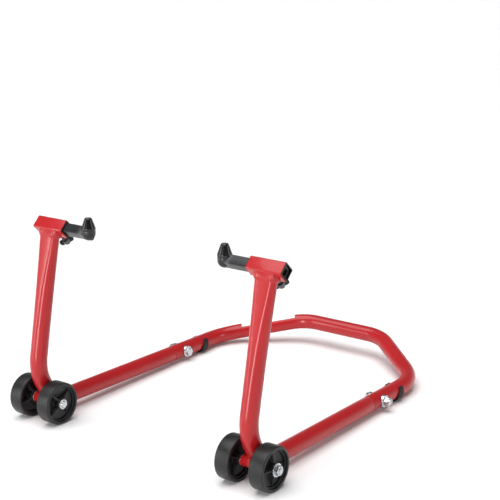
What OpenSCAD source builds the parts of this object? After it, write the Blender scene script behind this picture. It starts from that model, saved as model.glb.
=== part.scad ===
/* [Frame tube] */
// Outer diameter of the bent frame tubes
tube_d = 32; // [30:0.5:34]
// Wall thickness of the frame tubes
tube_wall = 2; // [1.5:0.25:2.5]
// Distance from the middle of the stand to the centre of each side tube
gauge_half = 243; // [235:1:255]
// Lean of the uprights towards the handle loop, in degrees
lean = 11.77; // [10:0.25:14]
// Centreline radius of the bottom bend of each side tube
bottom_bend_r = 82; // [78:1:86]
// Width of the flattened top end of each upright
flat_w = 42; // [38:1:44]
// Thickness of the flattened top end of each upright
flat_t = 18.5; // [17:0.5:22]
// Height of the middle of the cut top end of each upright
upright_top = 349; // [348:0.5:351]

/* [Handle loop] */
// Distance behind the axles of the joint between side tube and handle loop
seam_y = 371; // [340:1:380]
// Distance behind the axles of the outer corners of the loop
corner_y = 545.5; // [540:0.5:552]
// Distance behind the axles of the rear cross tube
loop_y = 663; // [655:1:675]
// Height of the centre of the rear cross tube
loop_z = 48; // [40:1:60]
// Half width between the rear corners of the loop
rear_half = 97.5; // [90:0.5:110]
// Centreline radius of the loop's outer bends
outer_bend_r = 105; // [95:1:115]
// Centreline radius of the loop's rear bends
rear_bend_r = 88; // [80:1:92]

/* [Wheels] */
// Wheel diameter
wheel_d = 80; // [78:0.5:81]
// Wheel width
wheel_w = 29; // [28:0.5:30]
// Distance from the tube centre to the middle of each wheel
wheel_off = 35; // [34.5:0.5:36]
// Number of ribs on each wheel face
wheel_ribs = 4; // [3:1:8]
// Axle bolt shank diameter
axle_d = 10; // [8:0.5:10]

/* [Sockets and adapters] */
// Outer side of the square adapter sockets
socket_a = 25; // [25:0.5:26]
// Wall thickness of the sockets
socket_wall = 2; // [2:0.25:2.25]
// Length of the sockets
socket_len = 69; // [68:1:72]
// Height of the centre of the sockets
socket_z = 361.3; // [361:0.1:362]
// Distance behind the axles of the centre of the sockets
socket_y = 48.4; // [48:0.1:49]
// Side of the square adapter bars
bar_a = 18; // [17.5:0.25:18]
// Distance from the middle of the stand to each lift cone
cone_x = 153; // [150:1:156]
// Diameter of the lift cones at their base
cone_d = 26; // [24:0.5:27]
// Height of the tips of the lift cones
tip_z = 390; // [388:1:394]

/* [Feet] */
// Width of each rubber foot clip along the tube
foot_w = 19; // [16:1:22]
// Distance behind the axles of the middle of each foot clip
foot_y = 466; // [460:1:470]
// Distance behind the axles of the joint bolts
bolt_y = 406; // [400:1:412]

/* [Hidden] */
$fn = 64;
e = 0.01;
r_o = tube_d / 2;
r_i = r_o - tube_wall;
wheel_r = wheel_d / 2;
foot_t = 3.5;                       // rubber under the tube at the foot
knee = [-26, 28.8];                 // crossing of the upright and rail centrelines (y, z)
foot_z = r_o + foot_t;              // tube centre height over the feet
droop = atan((knee[1] - foot_z) / (foot_y - knee[0]));
dir_up = [sin(lean), cos(lean)];
dir_rail = [cos(droop), -sin(droop)];
function rail_z(y) = knee[1] - (y - knee[0]) * tan(droop);
function up_y(z) = knee[0] + (z - knee[1]) * tan(lean);
loop_back = loop_y + r_o;
axle_y = (wheel_r - loop_back) / 2; // puts the middle of the length at y = 0
knee_angle = acos(dir_up * dir_rail);
knee_t = bottom_bend_r / tan(knee_angle / 2);
up_start = [knee[0] + dir_up[0] * knee_t, knee[1] + dir_up[1] * knee_t];
// sections of the flattened upright: height, width, thickness
flat_start = up_start[1] + 14 * cos(lean);
sec = [[flat_start - 2.5, tube_d - 0.2, tube_d - 0.2], [flat_start + 2.5, tube_d - 0.2, tube_d - 0.2],
    [200, 32.6, 30.5], [230, 33.5, 29.4], [252, 34.5, 28.2], [272, 35.8, 26.4], [292, 37.4, 24],
    [312, 39.2, 21.5], [330, 41, 19.5], [upright_top, flat_w, flat_t]];
flat_n = 40;                        // points around each section
socket_x = gauge_half - 1.5;
corner_r = 3;                       // outside corner rounding of the square tubes
flange_t = 1.5;
bar_gap = 0.3;
bar_end = 273;                      // outer end of the adapter bar
elbow_r = bar_a / sqrt(2) - 0.1;
cone_base = 367.5;
cone_wide = 371.7;
knob_dir = 45;                      // the clamp screw points down and back at this angle
screw_r = 4;
nut_h = 6.5;
knob_face = socket_a / 2 + nut_h + 21;
sleeve_half = 18;
washer_t = 2;
hub_r = 11.5;                       // wheel hub
bush_r = 7.5;
recess_r = 31;                      // recess of the wheel faces
hub_out = wheel_off + wheel_w / 2;

// ---- helpers ----
function unit(v) = v / norm(v);
function any_side(d) = unit(cross(d, abs(d[2]) < 0.9 ? [0, 0, 1] : [1, 0, 0]));

module placed() { translate([0, axle_y, 0]) children(); }

// child's x, y, z axes turned to e1, e2 and their cross product, moved to p
module basis(p, e1, e2) {
    e3 = cross(e1, e2);
    multmatrix([[e1[0], e2[0], e3[0], p[0]], [e1[1], e2[1], e3[1], p[1]],
                [e1[2], e2[2], e3[2], p[2]], [0, 0, 0, 1]]) children();
}

module rod(p, q, r) {
    d = unit(q - p);
    s = any_side(d);
    basis(p, s, cross(d, s)) cylinder(h = norm(q - p), r = r);
}

// one bend at corner b between a and c, with its centreline radius
module bend(a, b, c, rad, r) {
    u = unit(a - b);
    v = unit(c - b);
    th = acos(u * v);
    t = rad / tan(th / 2);
    cen = b + unit(u + v) * rad / sin(th / 2);
    basis(cen, unit(b + u * t - cen), -u)
        rotate_extrude(angle = 180 - th) translate([rad, 0]) circle(r = r);
}

function bend_t(a, b, c, rad) = rad / tan(acos(unit(a - b) * unit(c - b)) / 2);

// tube through the corner points, bent to the radii; the straights run a little
// way into the bends, which are a hair thinner, as a drawn bend is
module tube_run(pts, rads, r, over = 0) {
    n = len(pts);
    for (i = [0 : n - 2]) {
        d = unit(pts[i + 1] - pts[i]);
        s = i == 0 ? -over : bend_t(pts[i - 1], pts[i], pts[i + 1], rads[i - 1]) - 0.3;
        f = i == n - 2 ? -over : bend_t(pts[i], pts[i + 1], pts[i + 2], rads[i]) - 0.3;
        rod(pts[i] + d * s, pts[i + 1] - d * f, r);
    }
    for (i = [1 : n - 2]) bend(pts[i - 1], pts[i], pts[i + 1], rads[i - 1], r - 0.02);
}

// flat oval w by t, square to the upright at height z
function oval_ring(z, w, t) = [for (i = [0 : flat_n - 1])
    let (a = (i + 0.5) * 360 / flat_n, x = sign(cos(a)) * (w - t) / 2 + cos(a) * t / 2, y = sin(a) * t / 2)
    [x, up_y(z) + y * cos(lean), z - y * sin(lean)]];

// the flattened upright as one shell of sections, inset by g
module upright_flat(g, over = 0) {
    m = len(sec);
    pts = [for (i = [0 : m - 1]) each oval_ring(sec[i][0] + (i == m - 1 ? over : 0), sec[i][1] - 2 * g, sec[i][2] - 2 * g)];
    polyhedron(pts, [
        [for (k = [0 : flat_n - 1]) k],
        for (i = [0 : m - 2], k = [0 : flat_n - 1]) let (a = i * flat_n + k, b = i * flat_n + (k + 1) % flat_n)
            each [[a, a + flat_n, b + flat_n], [a, b + flat_n, b]],
        [for (k = [flat_n - 1 : -1 : 0]) (m - 1) * flat_n + k]]);
}

module square_bar(a, rad, len) {
    // a square bar on its edge along x, from 0 to len, with rounded edges
    rotate([0, 90, 0]) rotate([0, 0, 45]) linear_extrude(len) {
        square([a - 2 * rad, a], center = true);
        square([a, a - 2 * rad], center = true);
        for (x = [-1, 1], y = [-1, 1]) translate([x * (a / 2 - rad), y * (a / 2 - rad)]) circle(r = rad);
    }
}

module x_cyl(x0, x1, r) { translate([x0, 0, 0]) rotate([0, 90, 0]) cylinder(h = x1 - x0, r = r); }

module x_hex(x0, x1, af) {
    translate([x0, 0, 0]) rotate([0, 90, 0]) cylinder(h = x1 - x0, d = af / cos(30), $fn = 6);
}

module at_side(s) { mirror([s < 0 ? 1 : 0, 0, 0]) children(); }

// ---- side frame, drawn on the +x side ----
side_pts = [[0, up_start[0] + dir_up[0] * 14, up_start[1] + dir_up[1] * 14],
            [0, knee[0], knee[1]], [0, seam_y, rail_z(seam_y)]];

module socket_block(g = 0) {
    translate([socket_x - socket_len / 2 - g, socket_y, socket_z])
        square_bar(socket_a, corner_r, socket_len + 2 * g);
}

module side_tube_solid() {
    difference() {
        translate([gauge_half, 0, 0]) difference() {
            union() {
                tube_run(side_pts, [bottom_bend_r], r_o);
                upright_flat(0);
            }
            tube_run(side_pts, [bottom_bend_r], r_i, 0.5);
            upright_flat(tube_wall, 1);
            translate([0, 0, wheel_r]) x_cyl(-r_o - 4, r_o + 4, r_o * 0.625);
        }
        socket_block(5);
    }
}

module axle_sleeve_solid() {
    translate([gauge_half, 0, wheel_r]) difference() {
        x_cyl(-sleeve_half, sleeve_half, r_o * 0.625);
        x_cyl(-sleeve_half - 1, sleeve_half + 1, axle_d / 2 + 0.1);
    }
}

module socket_solid() {
    difference() {
        socket_block();
        translate([socket_x - socket_len / 2 - 1, socket_y, socket_z])
            square_bar(socket_a - 2 * socket_wall, 1.2, socket_len + 2);
        clamp_axis() translate([0, 0, 4]) cylinder(h = 20, r = screw_r + 0.5);
    }
}

module liner_solid(outer) {
    a_in = bar_a + 2 * bar_gap;
    x0 = socket_x - socket_len / 2;
    x1 = socket_x + socket_len / 2;
    translate([0, socket_y, socket_z]) difference() {
        if (outer) union() {
            translate([x1, 0, 0]) square_bar(socket_a - 2.2, corner_r - 1, flange_t);
            translate([x1 - 14, 0, 0]) square_bar(socket_a - 2 * socket_wall, 1.2, 14);
        } else union() {
            translate([x0 - flange_t, 0, 0]) square_bar(socket_a - 2.2, corner_r - 1, flange_t);
            translate([x0, 0, 0]) square_bar(socket_a - 2 * socket_wall, 1.2, 14);
        }
        translate([x0 - 5, 0, 0]) square_bar(a_in, 1, socket_len + 10);
    }
}

// origin on the clamp axis at the socket centre, +z out along the screw
module clamp_axis() {
    translate([gauge_half, socket_y, socket_z]) rotate([-90 - knob_dir, 0, 0]) children();
}

module weld_nut_solid() {
    clamp_axis() translate([0, 0, socket_a / 2]) difference() {
        cylinder(h = nut_h, d = 13 / cos(30), $fn = 6);
        translate([0, 0, -1]) cylinder(h = nut_h + 2, r = screw_r + 0.08);
    }
}

module clamp_screw_solid() {
    clamp_axis() translate([0, 0, bar_a / 2 + 0.4]) {
        cylinder(h = knob_face + 10 - bar_a / 2 - 0.4, r = screw_r);
    }
}

module clamp_knob_solid(turn) {
    clamp_axis() translate([0, 0, knob_face]) rotate([0, 0, turn]) difference() {
        union() {
            cylinder(h = 13, r = 7);
            for (s = [-1, 1]) intersection() {
                translate([s * 7, 0, 7]) cube([14, 5.6, 13], center = true);
                translate([s * 7, 4, 7]) rotate([90, 0, 0]) cylinder(h = 8, r = 7);
            }
        }
        translate([0, 0, -1]) cylinder(h = 11.05, r = screw_r + 0.05);
    }
}

// ---- handle loop ----
loop_pts = [[gauge_half, seam_y, rail_z(seam_y)], [gauge_half, corner_y, rail_z(corner_y)],
            [rear_half, loop_y, loop_z], [-rear_half, loop_y, loop_z],
            [-gauge_half, corner_y, rail_z(corner_y)], [-gauge_half, seam_y, rail_z(seam_y)]];
loop_rads = [outer_bend_r, rear_bend_r, rear_bend_r, outer_bend_r];
bolt_z = rail_z(bolt_y);

module handle_loop_solid() {
    difference() {
        tube_run(loop_pts, loop_rads, r_o);
        tube_run(loop_pts, loop_rads, r_i, 0.5);
        for (s = [-1, 1]) translate([s * gauge_half, bolt_y, bolt_z]) x_cyl(-r_o - 2, r_o + 2, 5.3);
    }
}

module joint_sleeve_solid() {
    a = [gauge_half, seam_y - 60, rail_z(seam_y - 60)];
    b = [gauge_half, seam_y + 55, rail_z(seam_y + 55)];
    difference() {
        rod(a, b, r_i - 0.1);
        rod(a - (b - a) * 0.01, b + (b - a) * 0.01, r_i - 2.1);
        translate([gauge_half, bolt_y, bolt_z]) x_cyl(-r_o, r_o, 5.3);
    }
}

module joint_bolt_solid() {
    translate([gauge_half, bolt_y, bolt_z]) {
        x_cyl(-r_o - washer_t, r_o + washer_t + 11, 5);
        x_hex(-r_o - washer_t - 6.4, -r_o - washer_t, 16);
    }
}

module joint_washer_pair() {
    translate([gauge_half, bolt_y, bolt_z]) for (s = [-1, 1]) difference() {
        x_cyl(s > 0 ? r_o - 6 : -r_o - washer_t, s > 0 ? r_o + washer_t : -r_o + 6, 12);
        x_cyl(-r_o - 5, r_o + 5, 5.25);
        translate([0, -bolt_y + seam_y, rail_z(seam_y) - bolt_z])
            rod([0, -20, 20 * tan(droop)], [0, 90, -90 * tan(droop)], r_o);
    }
}

module joint_nut_solid() {
    // self-locking nut: hexagon with a round collar
    translate([gauge_half, bolt_y, bolt_z]) difference() {
        union() {
            x_hex(r_o + washer_t, r_o + washer_t + 8, 16);
            x_cyl(r_o + washer_t + 7.5, r_o + washer_t + 12, 7.4);
        }
        x_cyl(r_o, r_o + washer_t + 14, 5.05);
    }
}

module foot_clip_solid() {
    p = [gauge_half, foot_y - foot_w / 2, rail_z(foot_y - foot_w / 2)];
    q = [gauge_half, foot_y + foot_w / 2, rail_z(foot_y + foot_w / 2)];
    difference() {
        rod(p, q, r_o + foot_t + 0.3);
        rod(p - (q - p), q + (q - p), r_o);
        translate([gauge_half, foot_y, foot_z + r_o + 6]) cube([26, foot_w * 2, 20], center = true);
        translate([gauge_half, foot_y, -10]) cube([60, 60, 20], center = true);
    }
}

// ---- wheels ----
// half section of a solid ring for rotate_extrude, outer edges rounded
module round_ring(ri, ro, w, rad) {
    translate([ri, -w / 2]) square([ro - rad - ri, w]);
    translate([ro - rad - e, -w / 2 + rad]) square([rad + e, w - 2 * rad]);
    for (s = [-1, 1]) translate([ro - rad, s * (w / 2 - rad)]) circle(r = rad);
}

module wheel_body(x, a0 = 0) {
    hw = wheel_w / 2;
    translate([x, 0, wheel_r]) rotate([0, 90, 0]) difference() {
        union() {
            // rim, dished web and hub
            rotate_extrude() difference() {
                round_ring(0, wheel_r, wheel_w, 4.5);
                for (s = [0, 1]) mirror([0, s]) {
                    polygon([[hub_r, 2.5], [recess_r, 5], [recess_r, hw + 1], [hub_r, hw + 1]]);
                    translate([recess_r - e, hw - 4.5]) square([2.5, 6]);
                }
            }
            // gusset ribs, tall at the hub and low at the rim
            intersection() {
                rotate_extrude() polygon([[hub_r - 1, -hw + 1], [recess_r + 1, -6.5], [recess_r + 1, 6.5], [hub_r - 1, hw - 1]]);
                for (i = [0 : wheel_ribs - 1]) rotate([0, 0, i * 360 / wheel_ribs + a0])
                    translate([hub_r - 2, -1.2, -hw]) cube([recess_r - hub_r + 2.5, 2.4, wheel_w]);
            }
        }
        cylinder(h = wheel_w + 2, r = bush_r, center = true);
    }
}

module bush_body(x) {
    translate([x, 0, wheel_r]) difference() {
        x_cyl(-wheel_w / 2 - 0.15, wheel_w / 2 + 0.15, bush_r);
        x_cyl(-wheel_w, wheel_w, axle_d / 2 + 0.09);
    }
}

module axle_bolt_solid() {
    // round flanged head on the inner side, thread end on the outer side
    translate([gauge_half, 0, wheel_r]) {
        x_cyl(-hub_out - 1, hub_out + 0.5 + washer_t + 7.5, axle_d / 2);
        x_cyl(-hub_out - 2, -hub_out - 0.5, 9.5);
        x_cyl(-hub_out - 4, -hub_out - 0.5, 6.5);
        x_cyl(-hub_out - 5, -hub_out - 0.5, 5.4);
    }
}

module axle_washer(x0, r) {
    translate([gauge_half, 0, wheel_r]) difference() {
        x_cyl(x0, x0 + washer_t, r);
        x_cyl(x0 - 1, x0 + washer_t + 1, axle_d / 2 + 0.15);
    }
}

module axle_washer_set() {
    axle_washer(-sleeve_half - washer_t, 10);
    axle_washer(sleeve_half, 10);
    axle_washer(hub_out + 0.5, 12);
}

module axle_nut_solid() {
    translate([gauge_half, 0, wheel_r]) difference() {
        x_hex(hub_out + 0.5 + washer_t, hub_out + 0.5 + washer_t + 6, 16);
        x_cyl(hub_out, hub_out + 20, axle_d / 2 + 0.05);
    }
}

// ---- adapters ----
module adapter_bar_solid() {
    difference() {
        union() {
            translate([cone_x, socket_y, socket_z]) {
                square_bar(bar_a, 1, bar_end - cone_x);
                sphere(r = elbow_r);
                cylinder(h = cone_base - socket_z, r = elbow_r);
            }
            translate([cone_x, socket_y, cone_base - 1]) cylinder(h = 15, r = 5);
        }
        // open square tube behind the solid elbow
        translate([cone_x + 16, socket_y, socket_z]) square_bar(bar_a - 5, 0.5, bar_end - cone_x);
    }
}

module lift_cone_solid() {
    rr = cone_d / 2;
    translate([cone_x, socket_y, 0]) difference() {
        union() {
            translate([0, 0, cone_base]) cylinder(h = cone_wide - cone_base, r = rr);
            translate([0, 0, cone_wide]) cylinder(h = tip_z - 2 - cone_wide, r1 = rr, r2 = 6.9);
            translate([0, 0, tip_z - 2]) cylinder(h = 2, r1 = 6.9, r2 = 4.9);
        }
        translate([0, 0, cone_base - 1]) cylinder(h = 15.1, r = 5.05);
    }
}

// ---- label, a thin blank skin on the loop's left diagonal ----
module loop_label_solid() {
    a = loop_pts[4];
    b = loop_pts[3];
    d = unit(b - a);
    m = a + (b - a) * 0.553;
    up = unit([0, 0, 1] - d * d[2]);
    side = cross(d, up);
    len = 104;
    basis(m - d * len / 2, unit(up), unit(cross(d, up))) intersection() {
        difference() {
            cylinder(h = len, r = r_o + 0.35);
            translate([0, 0, -1]) cylinder(h = len + 2, r = r_o);
        }
        translate([4, -13, 0]) cube([20, 26, len]);
    }
}

// ---- nodes ----
red = [0.72, 0.1, 0.12];
black = [0.09, 0.09, 0.1];
zinc = [0.8, 0.81, 0.83];

module left_side_tube() color(red) placed() at_side(-1) side_tube_solid();
module right_side_tube() color(red) placed() side_tube_solid();
module left_axle_sleeve() color(red) placed() at_side(-1) axle_sleeve_solid();
module right_axle_sleeve() color(red) placed() axle_sleeve_solid();
module left_socket() color(red) placed() at_side(-1) socket_solid();
module right_socket() color(red) placed() socket_solid();
module left_inner_liner() color(black) placed() at_side(-1) liner_solid(false);
module left_outer_liner() color(black) placed() at_side(-1) liner_solid(true);
module right_inner_liner() color(black) placed() liner_solid(false);
module right_outer_liner() color(black) placed() liner_solid(true);
module left_weld_nut() color(red) placed() at_side(-1) weld_nut_solid();
module right_weld_nut() color(red) placed() weld_nut_solid();
module left_joint_sleeve() color(zinc) placed() at_side(-1) joint_sleeve_solid();
module right_joint_sleeve() color(zinc) placed() joint_sleeve_solid();
module handle_loop() color(red) placed() handle_loop_solid();
module joint_bolts() color(zinc) placed() for (s = [-1, 1]) at_side(s) joint_bolt_solid();
module joint_washers() color(zinc) placed() for (s = [-1, 1]) at_side(s) joint_washer_pair();
module joint_nuts() color(zinc) placed() for (s = [-1, 1]) at_side(s) joint_nut_solid();
module left_foot_clip() color(black) placed() at_side(-1) foot_clip_solid();
module right_foot_clip() color(black) placed() foot_clip_solid();
module left_axle_bolt() color(zinc) placed() at_side(-1) axle_bolt_solid();
module right_axle_bolt() color(zinc) placed() axle_bolt_solid();
module axle_washers() color(zinc) placed() for (s = [-1, 1]) at_side(s) axle_washer_set();
module axle_nuts() color(zinc) placed() for (s = [-1, 1]) at_side(s) axle_nut_solid();
module left_outer_wheel() color(black) placed() wheel_body(-gauge_half - wheel_off, 20);
module left_inner_wheel() color(black) placed() wheel_body(-gauge_half + wheel_off, 40);
module right_inner_wheel() color(black) placed() wheel_body(gauge_half - wheel_off, 65);
module right_outer_wheel() color(black) placed() wheel_body(gauge_half + wheel_off, 0);
module left_outer_bush() color(zinc) placed() bush_body(-gauge_half - wheel_off);
module left_inner_bush() color(zinc) placed() bush_body(-gauge_half + wheel_off);
module right_inner_bush() color(zinc) placed() bush_body(gauge_half - wheel_off);
module right_outer_bush() color(zinc) placed() bush_body(gauge_half + wheel_off);
module left_adapter_bar() color(black) placed() at_side(-1) adapter_bar_solid();
module right_adapter_bar() color(black) placed() adapter_bar_solid();
module left_lift_cone() color(black) placed() at_side(-1) lift_cone_solid();
module right_lift_cone() color(black) placed() lift_cone_solid();
module left_clamp_screw() color(zinc) placed() at_side(-1) clamp_screw_solid();
module right_clamp_screw() color(zinc) placed() clamp_screw_solid();
module left_clamp_knob() color(black) placed() at_side(-1) clamp_knob_solid(40);
module right_clamp_knob() color(black) placed() clamp_knob_solid(-40);
module loop_label() color("white") placed() loop_label_solid();

left_side_tube();
right_side_tube();
left_axle_sleeve();
right_axle_sleeve();
left_socket();
right_socket();
left_inner_liner();
left_outer_liner();
right_inner_liner();
right_outer_liner();
left_weld_nut();
right_weld_nut();
left_joint_sleeve();
right_joint_sleeve();
handle_loop();
joint_bolts();
joint_washers();
joint_nuts();
left_foot_clip();
right_foot_clip();
left_axle_bolt();
right_axle_bolt();
axle_washers();
axle_nuts();
left_outer_wheel();
left_inner_wheel();
right_inner_wheel();
right_outer_wheel();
left_outer_bush();
left_inner_bush();
right_inner_bush();
right_outer_bush();
left_adapter_bar();
right_adapter_bar();
left_lift_cone();
right_lift_cone();
left_clamp_screw();
right_clamp_screw();
left_clamp_knob();
right_clamp_knob();
loop_label();
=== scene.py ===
import bpy
import bmesh
import math
import numpy as np
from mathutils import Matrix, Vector


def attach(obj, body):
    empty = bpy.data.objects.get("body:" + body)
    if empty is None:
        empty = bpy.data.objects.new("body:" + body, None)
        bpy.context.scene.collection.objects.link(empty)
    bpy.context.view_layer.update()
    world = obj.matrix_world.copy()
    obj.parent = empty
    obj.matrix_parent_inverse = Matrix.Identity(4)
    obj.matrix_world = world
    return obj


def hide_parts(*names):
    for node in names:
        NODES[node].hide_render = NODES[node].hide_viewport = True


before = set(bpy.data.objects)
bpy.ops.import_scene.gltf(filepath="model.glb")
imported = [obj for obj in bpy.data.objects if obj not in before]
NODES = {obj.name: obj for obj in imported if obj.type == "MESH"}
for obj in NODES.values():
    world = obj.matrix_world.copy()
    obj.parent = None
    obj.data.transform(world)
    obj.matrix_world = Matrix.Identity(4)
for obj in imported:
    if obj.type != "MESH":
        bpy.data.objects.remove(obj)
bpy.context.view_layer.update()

MM = 0.001
R = math.radians

# ------------------------------------------------------------------ sizes, mm
TUBE_R, WALL = 16.0, 2.0
GH = 243.0
LEAN = R(11.77)
WHEEL_R, WHEEL_W, WHEEL_OFF = 40.0, 29.0, 35.0
SEAM_Y, CORNER_Y, LOOP_Y, LOOP_Z, REAR = 371.0, 545.5, 663.0, 48.0, 97.5
AY = (WHEEL_R - (LOOP_Y + TUBE_R)) / 2
KNEE = np.array([0.0, -26.0, 28.8])
FOOT_Y, BOLT_Y = 466.0, 406.0
DROOP = math.atan((KNEE[2] - 19.5) / (FOOT_Y - KNEE[1]))
SOCK_Y, SOCK_Z, SOCK_X, SOCK_L, SOCK_A = 48.4, 361.3, 241.5, 69.0, 25.0
BAR_A, BAR_END, CONE_X, CONE_BASE, CONE_WIDE, TIP_Z = 18.0, 273.0, 153.0, 367.5, 371.7, 390.0
HUB_OUT = WHEEL_OFF + WHEEL_W / 2
SCREW_R, NUT_H = 4.0, 6.5
KNOB_FACE = SOCK_A / 2 + NUT_H + 21
TOP_Z = 349.0


def rail_z(y):
    return KNEE[2] - (y - KNEE[1]) * math.tan(DROOP)


def up_y(z):
    return KNEE[1] + (z - KNEE[2]) * math.tan(LEAN)


# ------------------------------------------------------------------ materials
def new_mat(name):
    m = bpy.data.materials.new(name)
    m.use_nodes = True
    nt = m.node_tree
    bsdf = next(n for n in nt.nodes if n.type == "BSDF_PRINCIPLED")
    return m, nt, bsdf


def coords(nt):
    g = nt.nodes.new("ShaderNodeNewGeometry")
    return g.outputs["Position"]


def obj_coords(nt):
    return nt.nodes.new("ShaderNodeTexCoord").outputs["Object"]


def noise(nt, vec, scale, detail=4.0, rough=0.55, stretch=None):
    if stretch is not None:
        mp = nt.nodes.new("ShaderNodeMapping")
        mp.inputs["Scale"].default_value = stretch
        nt.links.new(vec, mp.inputs["Vector"])
        vec = mp.outputs["Vector"]
    n = nt.nodes.new("ShaderNodeTexNoise")
    n.inputs["Scale"].default_value = scale
    n.inputs["Detail"].default_value = detail
    n.inputs["Roughness"].default_value = rough
    nt.links.new(vec, n.inputs["Vector"])
    return n.outputs["Fac"]


def ramp(nt, fac, stops):
    r = nt.nodes.new("ShaderNodeValToRGB")
    el = r.color_ramp.elements
    while len(el) < len(stops):
        el.new(0.5)
    for e, (p, c) in zip(el, stops):
        e.position = p
        e.color = (*c, 1) if len(c) == 3 else c
    nt.links.new(fac, r.inputs["Fac"])
    return r.outputs["Color"]


def to_range(nt, fac, lo, hi, a=0.3, b=0.7):
    m = nt.nodes.new("ShaderNodeMapRange")
    m.inputs["From Min"].default_value = a
    m.inputs["From Max"].default_value = b
    m.inputs["To Min"].default_value = lo
    m.inputs["To Max"].default_value = hi
    nt.links.new(fac, m.inputs["Value"])
    return m.outputs["Result"]


def mix_col(nt, fac, a, b, kind="MIX"):
    m = nt.nodes.new("ShaderNodeMix")
    m.data_type = "RGBA"
    m.blend_type = kind
    ins = [s for s in m.inputs if s.type == "RGBA"]
    fin = [s for s in m.inputs if s.type == "VALUE"][0]
    if isinstance(fac, (int, float)):
        fin.default_value = fac
    else:
        nt.links.new(fac, fin)
    for s, v in zip(ins, (a, b)):
        if isinstance(v, tuple):
            s.default_value = (*v, 1)
        else:
            nt.links.new(v, s)
    return [o for o in m.outputs if o.type == "RGBA"][0]


def bump(nt, bsdf, parts):
    """parts: (height, strength, distance in metres), chained"""
    prev = None
    for h, s, d in parts:
        b = nt.nodes.new("ShaderNodeBump")
        b.inputs["Strength"].default_value = s
        b.inputs["Distance"].default_value = d
        nt.links.new(h, b.inputs["Height"])
        if prev is not None:
            nt.links.new(prev, b.inputs["Normal"])
        prev = b.outputs["Normal"]
    nt.links.new(prev, bsdf.inputs["Normal"])


# pointiness mask, 0 to 1 between lo and hi; the materials use it for painted highlights on convex edges and painted
# shade in concave creases
def pointy(nt, lo=0.5, hi=0.56):
    g = nt.nodes.new("ShaderNodeNewGeometry")
    return to_range(nt, g.outputs["Pointiness"], 0, 1, lo, hi)


def mat_red():
    m, nt, b = new_mat("red_powder_coat")
    v = obj_coords(nt)
    big = noise(nt, v, 9, 3)
    fine = noise(nt, v, 420, 3)
    peel = noise(nt, v, 620, 2, 0.4)
    grit = noise(nt, v, 2600, 2, 0.5)
    base = ramp(nt, big, [(0.3, (0.385, 0.0085, 0.0115)), (0.7, (0.43, 0.011, 0.014))])
    base = mix_col(nt, to_range(nt, fine, 0.0, 0.22, 0.45, 0.75), base, (0.34, 0.007, 0.010))
    # painted highlight: lighter pinkish red on convex edges and rims, picked out by pointiness
    base = mix_col(nt, pointy(nt, 0.52, 0.60), base, (0.52, 0.030, 0.030))
    nt.links.new(base, b.inputs["Base Color"])
    nt.links.new(to_range(nt, fine, 0.27, 0.36), b.inputs["Roughness"])
    b.inputs["Specular IOR Level"].default_value = 0.28
    b.inputs["Coat Weight"].default_value = 0.30
    b.inputs["Coat Roughness"].default_value = 0.10
    bump(nt, b, [(peel, 0.10, 0.0004), (grit, 0.06, 0.0001)])
    return m


def mat_dark(name, c0, c1, r0, r1, grain=900, bstr=0.2, bdist=0.0002, coat=0.0, edge=None, painted_edge_highlight=(0.12, 0.12, 0.125)):
    m, nt, b = new_mat(name)
    v = obj_coords(nt)
    n1 = noise(nt, v, 30, 4)
    n2 = noise(nt, v, grain, 3)
    base = ramp(nt, n1, [(0.32, c0), (0.68, c1)])
    # optional painted highlight: lighter grey on convex edges, picked out by pointiness
    if edge:
        base = mix_col(nt, pointy(nt, *edge), base, painted_edge_highlight)
    nt.links.new(base, b.inputs["Base Color"])
    nt.links.new(to_range(nt, noise(nt, v, 70, 5, 0.65), r0, r1), b.inputs["Roughness"])
    b.inputs["Coat Weight"].default_value = coat
    b.inputs["Coat Roughness"].default_value = 0.1
    b.inputs["Specular IOR Level"].default_value = 0.28
    bump(nt, b, [(n2, bstr, bdist)])
    return m


def mat_wheel():
    m, nt, b = new_mat("black_nylon")
    v = obj_coords(nt)
    cloud = noise(nt, v, 45, 5, 0.6)
    fine = noise(nt, v, 1500, 3)
    scuff = noise(nt, v, 240, 4, 0.7, stretch=(0.35, 2.0, 2.0))
    base = ramp(nt, cloud, [(0.3, (0.009, 0.0093, 0.0096)), (0.7, (0.015, 0.0153, 0.0156))])
    base = mix_col(nt, to_range(nt, scuff, 0, 0.35, 0.58, 0.74), base, (0.040, 0.040, 0.041))
    # painted highlight: lighter grey on the wheel's convex edges, picked out by pointiness
    base = mix_col(nt, pointy(nt, 0.52, 0.60), base, (0.060, 0.060, 0.062))
    nt.links.new(base, b.inputs["Base Color"])
    nt.links.new(to_range(nt, cloud, 0.32, 0.44), b.inputs["Roughness"])
    b.inputs["Specular IOR Level"].default_value = 0.36
    bump(nt, b, [(fine, 0.18, 0.00015), (scuff, 0.06, 0.0002)])
    return m


def mat_metal(name, c0, c1, r0, r1, brush=(1, 1, 1), scale=500, bstr=0.12, edge=None):
    m, nt, b = new_mat(name)
    v = obj_coords(nt)
    n1 = noise(nt, v, 120, 4)
    n2 = noise(nt, v, scale, 4, 0.6, stretch=brush)
    base = ramp(nt, n1, [(0.3, c0), (0.7, c1)])
    # optional painted shade: darker colour in creases and concave corners, where pointiness is low
    if edge:
        base = mix_col(nt, pointy(nt, 0.48, 0.40), base, edge)
    nt.links.new(base, b.inputs["Base Color"])
    b.inputs["Metallic"].default_value = 1.0
    nt.links.new(to_range(nt, n2, r0, r1), b.inputs["Roughness"])
    bump(nt, b, [(n2, bstr, 0.0001)])
    return m


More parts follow.
